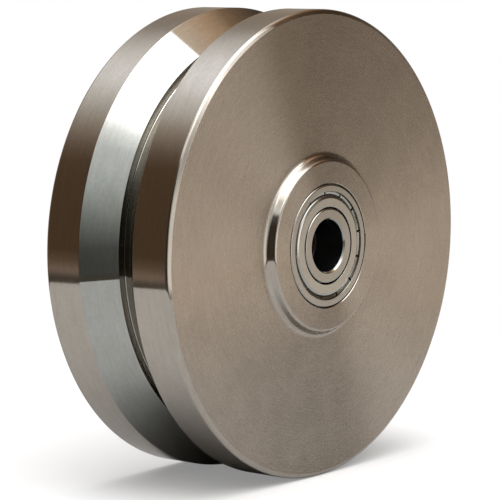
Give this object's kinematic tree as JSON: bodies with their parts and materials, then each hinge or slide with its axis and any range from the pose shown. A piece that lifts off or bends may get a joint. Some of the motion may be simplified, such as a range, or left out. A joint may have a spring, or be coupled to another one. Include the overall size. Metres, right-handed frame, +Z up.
{
  "type": "v-groove track wheel",
  "caption": "Solid steel V-groove track wheel with raised hub bosses, turning on two shielded deep-groove ball bearings set flush in the hub.",
  "frame": {"origin": "centre of the wheel, midway between its two faces", "axes": "+Y along the wheel's spin axis, from the front boss to the rear boss; +Z up, the wheel stands on its tread"},
  "size_m": [0.1524, 0.0572, 0.152],
  "materials": {
    "turned_stainless": "fine turned, satin",
    "ground_ring_steel": "ground, bright",
    "pressed_shield_steel": "pressed sheet, satin",
    "polished_ball_steel": "mirror polished",
    "cage_strip_steel": "pressed strip, dull",
    "spacer_steel": "machined, dull"
  },
  "bodies": {
    "axle_side": {"front_inner_ring": "ground_ring_steel", "rear_inner_ring": "ground_ring_steel", "inner_spacer": "spacer_steel"},
    "wheel": {"wheel_body": "turned_stainless", "front_outer_ring": "ground_ring_steel", "front_outboard_shield": "pressed_shield_steel", "front_inboard_shield": "pressed_shield_steel", "rear_outer_ring": "ground_ring_steel", "rear_outboard_shield": "pressed_shield_steel", "rear_inboard_shield": "pressed_shield_steel"},
    "front_cage": {"front_outboard_cage_half": "cage_strip_steel", "front_inboard_cage_half": "cage_strip_steel", "front_cage_rivet_1": "cage_strip_steel", "front_cage_rivet_2": "cage_strip_steel", "front_cage_rivet_3": "cage_strip_steel", "front_cage_rivet_4": "cage_strip_steel", "front_cage_rivet_5": "cage_strip_steel", "front_cage_rivet_6": "cage_strip_steel", "front_cage_rivet_7": "cage_strip_steel", "front_cage_rivet_8": "cage_strip_steel"},
    "front_ball_1": {"front_ball_1": "polished_ball_steel"},
    "front_ball_2": {"front_ball_2": "polished_ball_steel"},
    "front_ball_3": {"front_ball_3": "polished_ball_steel"},
    "front_ball_4": {"front_ball_4": "polished_ball_steel"},
    "front_ball_5": {"front_ball_5": "polished_ball_steel"},
    "front_ball_6": {"front_ball_6": "polished_ball_steel"},
    "front_ball_7": {"front_ball_7": "polished_ball_steel"},
    "front_ball_8": {"front_ball_8": "polished_ball_steel"},
    "rear_cage": {"rear_outboard_cage_half": "cage_strip_steel", "rear_inboard_cage_half": "cage_strip_steel", "rear_cage_rivet_1": "cage_strip_steel", "rear_cage_rivet_2": "cage_strip_steel", "rear_cage_rivet_3": "cage_strip_steel", "rear_cage_rivet_4": "cage_strip_steel", "rear_cage_rivet_5": "cage_strip_steel", "rear_cage_rivet_6": "cage_strip_steel", "rear_cage_rivet_7": "cage_strip_steel", "rear_cage_rivet_8": "cage_strip_steel"},
    "rear_ball_1": {"rear_ball_1": "polished_ball_steel"},
    "rear_ball_2": {"rear_ball_2": "polished_ball_steel"},
    "rear_ball_3": {"rear_ball_3": "polished_ball_steel"},
    "rear_ball_4": {"rear_ball_4": "polished_ball_steel"},
    "rear_ball_5": {"rear_ball_5": "polished_ball_steel"},
    "rear_ball_6": {"rear_ball_6": "polished_ball_steel"},
    "rear_ball_7": {"rear_ball_7": "polished_ball_steel"},
    "rear_ball_8": {"rear_ball_8": "polished_ball_steel"}
  },
  "joints": [
    {"name": "wheel_spin", "type": "hinge", "parent": "axle_side", "child": "wheel", "pos_m": [0, 0, 0], "axis": [0, 1, 0], "continuous": true},
    {"name": "front_cage_orbit", "type": "hinge", "parent": "axle_side", "child": "front_cage", "pos_m": [0, -0.02258, 0], "axis": [0, 1, 0], "continuous": true},
    {"name": "front_ball_1_spin", "type": "hinge", "parent": "front_cage", "child": "front_ball_1", "pos_m": [0.01425, -0.02258, 0], "axis": [0, 1, 0], "continuous": true},
    {"name": "front_ball_2_spin", "type": "hinge", "parent": "front_cage", "child": "front_ball_2", "pos_m": [0.01008, -0.02258, 0.01008], "axis": [0, 1, 0], "continuous": true},
    {"name": "front_ball_3_spin", "type": "hinge", "parent": "front_cage", "child": "front_ball_3", "pos_m": [0, -0.02258, 0.01425], "axis": [0, 1, 0], "continuous": true},
    {"name": "front_ball_4_spin", "type": "hinge", "parent": "front_cage", "child": "front_ball_4", "pos_m": [-0.01008, -0.02258, 0.01008], "axis": [0, 1, 0], "continuous": true},
    {"name": "front_ball_5_spin", "type": "hinge", "parent": "front_cage", "child": "front_ball_5", "pos_m": [-0.01425, -0.02258, 0], "axis": [0, 1, 0], "continuous": true},
    {"name": "front_ball_6_spin", "type": "hinge", "parent": "front_cage", "child": "front_ball_6", "pos_m": [-0.01008, -0.02258, -0.01008], "axis": [0, 1, 0], "continuous": true},
    {"name": "front_ball_7_spin", "type": "hinge", "parent": "front_cage", "child": "front_ball_7", "pos_m": [0, -0.02258, -0.01425], "axis": [0, 1, 0], "continuous": true},
    {"name": "front_ball_8_spin", "type": "hinge", "parent": "front_cage", "child": "front_ball_8", "pos_m": [0.01008, -0.02258, -0.01008], "axis": [0, 1, 0], "continuous": true},
    {"name": "rear_cage_orbit", "type": "hinge", "parent": "axle_side", "child": "rear_cage", "pos_m": [0, 0.02258, 0], "axis": [0, 1, 0], "continuous": true},
    {"name": "rear_ball_1_spin", "type": "hinge", "parent": "rear_cage", "child": "rear_ball_1", "pos_m": [0.01425, 0.02258, 0], "axis": [0, 1, 0], "continuous": true},
    {"name": "rear_ball_2_spin", "type": "hinge", "parent": "rear_cage", "child": "rear_ball_2", "pos_m": [0.01008, 0.02258, -0.01008], "axis": [0, 1, 0], "continuous": true},
    {"name": "rear_ball_3_spin", "type": "hinge", "parent": "rear_cage", "child": "rear_ball_3", "pos_m": [0, 0.02258, -0.01425], "axis": [0, 1, 0], "continuous": true},
    {"name": "rear_ball_4_spin", "type": "hinge", "parent": "rear_cage", "child": "rear_ball_4", "pos_m": [-0.01008, 0.02258, -0.01008], "axis": [0, 1, 0], "continuous": true},
    {"name": "rear_ball_5_spin", "type": "hinge", "parent": "rear_cage", "child": "rear_ball_5", "pos_m": [-0.01425, 0.02258, 0], "axis": [0, 1, 0], "continuous": true},
    {"name": "rear_ball_6_spin", "type": "hinge", "parent": "rear_cage", "child": "rear_ball_6", "pos_m": [-0.01008, 0.02258, 0.01008], "axis": [0, 1, 0], "continuous": true},
    {"name": "rear_ball_7_spin", "type": "hinge", "parent": "rear_cage", "child": "rear_ball_7", "pos_m": [0, 0.02258, 0.01425], "axis": [0, 1, 0], "continuous": true},
    {"name": "rear_ball_8_spin", "type": "hinge", "parent": "rear_cage", "child": "rear_ball_8", "pos_m": [0.01008, 0.02258, 0.01008], "axis": [0, 1, 0], "continuous": true}
  ],
  "couplings": [
    {"joint": "front_cage_orbit", "follows": "wheel_spin", "ratio": 0.61837},
    {"joint": "front_ball_1_spin", "follows": "wheel_spin", "ratio": 1.9937},
    {"joint": "front_ball_2_spin", "follows": "wheel_spin", "ratio": 1.9937},
    {"joint": "front_ball_3_spin", "follows": "wheel_spin", "ratio": 1.9937},
    {"joint": "front_ball_4_spin", "follows": "wheel_spin", "ratio": 1.9937},
    {"joint": "front_ball_5_spin", "follows": "wheel_spin", "ratio": 1.9937},
    {"joint": "front_ball_6_spin", "follows": "wheel_spin", "ratio": 1.9937},
    {"joint": "front_ball_7_spin", "follows": "wheel_spin", "ratio": 1.9937},
    {"joint": "front_ball_8_spin", "follows": "wheel_spin", "ratio": 1.9937},
    {"joint": "rear_cage_orbit", "follows": "wheel_spin", "ratio": 0.61837},
    {"joint": "rear_ball_1_spin", "follows": "wheel_spin", "ratio": 1.9937},
    {"joint": "rear_ball_2_spin", "follows": "wheel_spin", "ratio": 1.9937},
    {"joint": "rear_ball_3_spin", "follows": "wheel_spin", "ratio": 1.9937},
    {"joint": "rear_ball_4_spin", "follows": "wheel_spin", "ratio": 1.9937},
    {"joint": "rear_ball_5_spin", "follows": "wheel_spin", "ratio": 1.9937},
    {"joint": "rear_ball_6_spin", "follows": "wheel_spin", "ratio": 1.9937},
    {"joint": "rear_ball_7_spin", "follows": "wheel_spin", "ratio": 1.9937},
    {"joint": "rear_ball_8_spin", "follows": "wheel_spin", "ratio": 1.9937}
  ]
}
